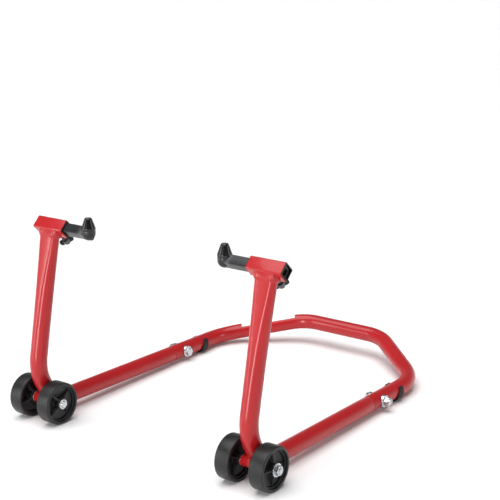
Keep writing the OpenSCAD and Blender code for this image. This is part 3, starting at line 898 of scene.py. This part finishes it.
    # wing knob
    b = Build()
    d, s_, u_ = frame_of(CA)
    org = CC + d * KNOB_FACE
    g0 = R(40) * side
    e1 = np.array([math.cos(g0), math.sin(g0) * math.sqrt(0.5), math.sin(g0) * math.sqrt(0.5)])
    e2 = np.cross(d, e1)
    prof = fillet_profile([(0, SCREW_R + 0.12), (0, 6.3), (2, 7.0), (10.5, 6.7), (13.0, 5.2), (13.0, 0.2), (10, 0.2), (10, SCREW_R + 0.12)],
                          [0.2, 0.8, 0.8, 1.2, 1.2, 0, 0, 0], 5)
    rings = []
    for h, r_ in prof:
        a = np.arange(80) * 2 * np.pi / 80
        rib = 0.0
        if r_ > 6.2 and 1 < h < 11.5:
            rad = r_ * (1 + 0.018 * np.cos(a * 16))
        else:
            rad = np.full(80, r_)
        rings.append(circle_pts(org + d * h, e1, e2, rad, 80))
    b.loft(rings, caps=False, closed_u=True)
    knob_blade(b, org, d, e1, e2, 1)
    knob_blade(b, org, d, e1, e2, -1)
    b.obj(tag + "_clamp_knob_moulding", M_PLA, tag + "_knob", "black_plastic", [tag + "_clamp_knob"], side, 40)

    # foot clip: a C round the tube with thickened lips and a flat tread
    b = Build()
    yf0, yf1 = FOOT_Y - 9.5, FOOT_Y + 9.5
    rings = []
    na = 60
    a0, a1 = R(90 + 49), R(90 - 49 + 360)
    ys = [yf0, yf0 + 0.25, yf0 + 0.9, yf0 + 3, FOOT_Y, yf1 - 3, yf1 - 0.9, yf1 - 0.25, yf1]
    ins_ = [0.9, 0.35, 0.0, 0, 0, 0, 0.0, 0.35, 0.9]
    grid_o, grid_i = [], []
    for y, w in zip(ys, ins_):
        zc = rail_z(y)
        ro, ri = [], []
        for k in range(na + 1):
            g = a0 + (a1 - a0) * k / na
            lip = max(0, 1 - min(k, na - k) / 3.0)
            rad = 19.55 - w + 0.25 * math.sin(math.pi * k / na) ** 8 - 1.6 * lip ** 2
            px, pz = rad * math.cos(g), zc + rad * math.sin(g)
            pz = max(pz, 0.02 + w * 0.5)
            up = min(1.0, max(0.0, (math.sin(g) + 0.35) / 1.0))
            yy = y + (yf1 - y) / (yf1 - yf0) * 8.5 * up * up * (3 - 2 * up)
            ro.append((GH + px, yy, pz))
            rr = 16.03 + (0.5 if w > 0.5 else 0.0)
            ri.append((GH + rr * math.cos(g), yy, zc + rr * math.sin(g)))
        grid_o.append(ro)
        grid_i.append(ri)
    sect = []
    for o_, i_ in zip(grid_o, grid_i):
        sect.append(np.array(o_ + i_[::-1]))
    b.loft(sect, caps=False)
    nv = len(sect[0])
    caps_f = []
    for base in (0, (len(sect) - 1) * nv):
        for k in range(na):
            caps_f.append((base + k, base + k + 1, base + nv - 2 - k, base + nv - 1 - k))
    b.f += caps_f
    b.m += [0] * len(caps_f)
    b.obj(tag + "_foot_clip_rubber", M_RUB, "frame", "black_rubber", [tag + "_foot_clip"], side, 40)

# ------------------------------------------------------------------ joint hardware
bz = rail_z(BOLT_Y)
bb, bw, bn = Build(), Build(), Build()
for sg in (1, -1):
    c = np.array([sg * GH, BOLT_Y, bz])
    ax = np.array([sg * 1.0, 0, 0])
    # saddle washers: flat outside, shaped to the tube inside
    for q in (1, -1):
        d = ax * q
        n = 72
        a = np.arange(n) * 2 * np.pi / n

        def ring(rad, kind, ins=0.0):
            y = rad * np.cos(a)
            z = rad * np.sin(a)
            if kind == "tube":
                x = np.sqrt(np.maximum(16.0 ** 2 - z ** 2, 0)) - 0.05 + ins
            else:
                x = np.full(n, 18.0 - ins)
            return c + np.outer(x, d) + np.outer(y, (0, 1, 0)) + np.outer(z, (0, 0, 1))
        rings = [ring(5.3, "tube"), ring(11.8, "tube"), ring(12.0, "tube", 0.3), ring(12.0, "flat", 0.45), ring(11.88, "flat", 0.16), ring(11.6, "flat"),
                 ring(5.7, "flat"), ring(5.3, "flat", 0.4)]
        bw.loft(rings, caps=False, closed_u=True)
    # bolt: hex head inside, thread outside
    hex_prism(bb, c, -ax, 18.0, 24.4, 16.0, 0, False, True, R(14))
    revolve_solid(bb, c, -ax, [(-28.0, 4.9), (18.2, 4.9)], 40)
    threaded(bb, c, ax, 17.5, 28.9, 4.95, 1.5, 0.7, 40)
    # locking nut
    hex_prism(bn, c, ax, 18.05, 26.0, 16.0, 5.05, True, False, R(20))
    prof = fillet_profile([(25.6, 5.05), (25.6, 7.5), (29.6, 7.2), (30.0, 5.6), (29.2, 5.05)], [0, 0.2, 0.9, 0.3, 0.2], 5)
    revolve(bn, c, ax, prof, 64)
bb.obj("joint_bolts_detail", M_ZINC, "frame", "zinc_plate", ["joint_bolts"], 1, 30)
bw.obj("joint_washers_detail", M_ZINC, "frame", "zinc_plate", ["joint_washers"], 1, 35)
bn.obj("joint_nuts_detail", M_ZINC, "frame", "zinc_plate", ["joint_nuts"], 1, 30)

# ------------------------------------------------------------------ axles
aw, an = Build(), Build()
for sg, tag in ((1, "right"), (-1, "left")):
    c = np.array([sg * GH, 0, WHEEL_R])
    ax = np.array([sg * 1.0, 0, 0])
    b = Build()
    prof = fillet_profile([(-(HUB_OUT + 0.5), 0.2), (-(HUB_OUT + 0.5), 9.5), (-(HUB_OUT + 2), 9.5), (-(HUB_OUT + 2.2), 6.5), (-(HUB_OUT + 5.0), 6.3), (-(HUB_OUT + 5.0), 0.2)],
                          [0, 0.3, 0.6, 0.2, 1.6, 0], 6)
    revolve_solid(b, c, ax, prof, 64)
    revolve_solid(b, c, ax, [(-(HUB_OUT + 1), 4.98), (HUB_OUT + 2, 4.98)], 48)
    threaded(b, c, ax, HUB_OUT + 2, HUB_OUT + 10.0, 4.97, 1.5, 0.7, 40)
    b.obj(tag + "_axle_bolt_detail", M_ZINC, "frame", "zinc_plate", [tag + "_axle_bolt"], 1, 30)
    washer(aw, c, ax, -20, -18.02, 10, 5.15)
    washer(aw, c, ax, 18.02, 20, 10, 5.15)
    washer(aw, c, ax, HUB_OUT + 0.5, HUB_OUT + 2.5, 12, 5.15)
    hex_prism(an, c, ax, HUB_OUT + 2.52, HUB_OUT + 8.5, 16.0, 5.05, True, True, R(8))
aw.obj("axle_washers_detail", M_ZINC, "frame", "zinc_plate", ["axle_washers"], 1, 35)
an.obj("axle_nuts_detail", M_ZINC, "frame", "zinc_plate", ["axle_nuts"], 1, 30)

# ------------------------------------------------------------------ wheels
HUB_R, REC = 11.5, 31.0


def wheel(name, x, a0):
    hw = WHEEL_W / 2
    c = (x, 0, WHEEL_R)
    b = Build()
    half = [(2.5, HUB_R), (hw - 0.02, HUB_R)]
    outline = [
        (hw, 7.5), (hw, HUB_R), (2.6, HUB_R), (5.0, REC), (hw - 4.5, REC), (hw - 4.5, REC + 2.4), (hw, REC + 3.0), (hw, 40.0),
        (-hw, 40.0), (-hw, REC + 3.0), (-hw + 4.5, REC + 2.4), (-hw + 4.5, REC), (-5.0, REC), (-2.6, HUB_R), (-hw, HUB_R), (-hw, 7.5)]
    rad = [0.5, 1.2, 2.0, 2.0, 0.8, 0.8, 1.4, 4.5, 4.5, 1.4, 0.8, 0.8, 2.0, 2.0, 1.2, 0.5]
    prof = fillet_profile(outline, rad, 6)
    revolve(b, c, (1, 0, 0), prof, 120)
    # gusset ribs with a soft top edge
    for s_ in (1, -1):
        for i in range(4):
            g = R(a0 + 90 * i)
            er = np.array([0, math.cos(g), math.sin(g)])
            et = np.array([0, -math.sin(g), math.cos(g)])
            ex = np.array([s_ * 1.0, 0, 0])
            cc = np.array(c)
            rings = []
            for k in range(13):
                t = k / 12
                r_ = HUB_R - 1.0 + (REC + 0.8 - HUB_R + 1.0) * t
                top = (hw - 1.2) * (1 - t) ** 1.0 + 6.6 * t
                w = 1.55 - 0.25 * t
                pts = [(1.0, -w - 0.35), (top - 0.9, -w), (top - 0.25, -w * 0.72), (top, 0), (top - 0.25, w * 0.72), (top - 0.9, w), (1.0, w + 0.35)]
                rings.append(np.array([cc + er * r_ + ex * px + et * pt for px, pt in pts]))
            b.loft(rings, caps=True)
    return b.obj(name + "_moulding", M_WHEEL, name.replace("_wheel", "_wheel_set"), "black_nylon", [name], 1, 34)


wheel("left_outer_wheel", -GH - WHEEL_OFF, 20)
wheel("left_inner_wheel", -GH + WHEEL_OFF, 40)
wheel("right_inner_wheel", GH - WHEEL_OFF, 65)
wheel("right_outer_wheel", GH + WHEEL_OFF, 0)
for nm, x in (("left_outer", -GH - WHEEL_OFF), ("left_inner", -GH + WHEEL_OFF), ("right_inner", GH - WHEEL_OFF), ("right_outer", GH + WHEEL_OFF)):
    b = Build()
    washer(b, (x, 0, WHEEL_R), (1, 0, 0), -WHEEL_W / 2 - 0.15, WHEEL_W / 2 + 0.15, 7.52, 5.09, 64, 0.3)
    b.obj(nm + "_bush_turned", M_BUSH, nm + "_wheel_set", "steel_bush", [nm + "_bush"], 1, 35)

# ------------------------------------------------------------------ label and hidden sleeves
def label():
    z0, z1 = rail_z(SEAM_Y), rail_z(CORNER_Y)
    pts = [(GH, SEAM_Y, z0), (GH, CORNER_Y, z1), (REAR, LOOP_Y, LOOP_Z), (-REAR, LOOP_Y, LOOP_Z), (-GH, CORNER_Y, z1), (-GH, SEAM_Y, z0)]
    P = tube_path(pts, [105.0, 88.0, 88.0, 105.0], 30, 4.0)
    a = np.array([-GH, CORNER_Y, z1])
    bb_ = np.array([-REAR, LOOP_Y, LOOP_Z])
    d = (bb_ - a) / np.linalg.norm(bb_ - a)
    T, S, U = path_frames(P, (0, 0, 1))
    keep = [i for i in range(len(P)) if P[i][0] < 0 and P[i][1] > 500 and 46 < (P[i] - a) @ d < 168]
    b = Build()
    n = 30
    half = math.asin(13.0 / 16.2)
    rings = []
    idx = [keep[0]] + keep + [keep[-1]]
    for m_, i in enumerate(idx):
        end = m_ in (0, len(idx) - 1)
        up = np.array([0, 0, 1.0]) - T[i] * T[i][2]
        up /= np.linalg.norm(up)
        sd = np.cross(T[i], up)
        off = (-0.12 if m_ == 0 else 0.12) if end else 0.0
        pts_o, pts_i = [], []
        for k in range(n + 1):
            g = -R(38) + (half + R(38)) * k / n
            tp = 1 - abs(2 * k / n - 1) ** 24
            ro_ = 16.02 + (0.10 if end else 0.27) * max(0.2, tp)
            dirn = math.sin(g) * sd + math.cos(g) * up
            pts_o.append(P[i] + T[i] * off + dirn * ro_)
            pts_i.append(P[i] + T[i] * off + dirn * 15.9)
        rings.append(np.array(pts_o + pts_i[::-1]))
    b.loft(rings, caps=False)
    nv = len(rings[0])
    for base in (0, (len(rings) - 1) * nv):
        for k in range(n):
            b.f.append((base + k, base + k + 1, base + nv - 2 - k, base + nv - 1 - k))
            b.m.append(0)
    b.obj("loop_label_film", M_LABEL, "frame", "label_film", ["loop_label"], 1, 40)


label()
for n in ("left_joint_sleeve", "right_joint_sleeve"):
    NODES[n].data.materials.clear()
    NODES[n].data.materials.append(M_ZINC)

# ------------------------------------------------------------------ floor, light, camera
def plain(name, col, rough):
    m, nt, b = new_mat(name)
    b.inputs["Base Color"].default_value = (*col, 1)
    b.inputs["Roughness"].default_value = rough
    b.inputs["Specular IOR Level"].default_value = 0.15
    return m


me = bpy.data.meshes.new("floor")
S = 40.0
me.from_pydata([(-S, -S, 0), (S, -S, 0), (S, S, 0), (-S, S, 0)], [], [(0, 1, 2, 3)])
fl = bpy.data.objects.new("floor", me)
me.materials.append(plain("floor", (0.93, 0.93, 0.93), 0.75))
bpy.context.scene.collection.objects.link(fl)

w = bpy.data.worlds.new("studio")
bpy.context.scene.world = w
w.use_nodes = True
wn = w.node_tree
bg = next(n for n in wn.nodes if n.type == "BACKGROUND")
tc = wn.nodes.new("ShaderNodeTexCoord")
sep = wn.nodes.new("ShaderNodeSeparateXYZ")
wn.links.new(tc.outputs["Generated"], sep.inputs["Vector"])
wr = wn.nodes.new("ShaderNodeValToRGB")
wr.color_ramp.elements[0].position = 0.02
wr.color_ramp.elements[0].color = (0.85, 0.85, 0.86, 1)
wr.color_ramp.elements[1].position = 0.42
wr.color_ramp.elements[1].color = (0.16, 0.16, 0.165, 1)
wn.links.new(sep.outputs["Z"], wr.inputs["Fac"])
wn.links.new(wr.outputs["Color"], bg.inputs["Color"])
bg.inputs["Strength"].default_value = 0.9


def area(name, loc, target, size, power, size_y=None):
    li = bpy.data.lights.new(name, "AREA")
    li.energy = power
    li.size = size
    if size_y:
        li.shape = "RECTANGLE"
        li.size_y = size_y
    o = bpy.data.objects.new(name, li)
    o.location = loc
    o.rotation_euler = (Vector(target) - Vector(loc)).to_track_quat("-Z", "Y").to_euler()
    bpy.context.scene.collection.objects.link(o)
    return o


sun = bpy.data.lights.new("overhead", "SUN")
sun.energy = 3.0
sun.angle = R(64)
so = bpy.data.objects.new("overhead", sun)
so.rotation_euler = Vector((0.10, 0.16, -1.0)).to_track_quat("-Z", "Y").to_euler()
bpy.context.scene.collection.objects.link(so)
area("strip_front", (0.05, -3.4, 0.70), (0, -0.2, 0.2), 0.55, 46, 1.6)
area("strip_left", (-2.05, -2.6, 0.85), (0, -0.2, 0.2), 0.42, 20, 1.7)
area("strip_right", (2.9, 0.9, 0.8), (0.1, 0, 0.1), 0.4, 12, 1.8)

cam = bpy.data.cameras.new("camera")
co = bpy.data.objects.new("camera", cam)
bpy.context.scene.collection.objects.link(co)
co.location = (1.325746, -1.467161 + AY * MM, 0.882857)
co.rotation_euler = (R(90 - 19.196), 0, R(36.084))
cam.sensor_width = 36
cam.sensor_fit = "HORIZONTAL"
cam.lens = 1206.405 / 500 * 36
cam.shift_x = -0.01681
cam.shift_y = 0.18764
cam.clip_end = 200
bpy.context.scene.camera = co

sc = bpy.context.scene
sc.view_settings.view_transform = "Standard"
sc.view_settings.look = "None"
sc.view_settings.exposure = 0.0
sc.view_settings.gamma = 1.0
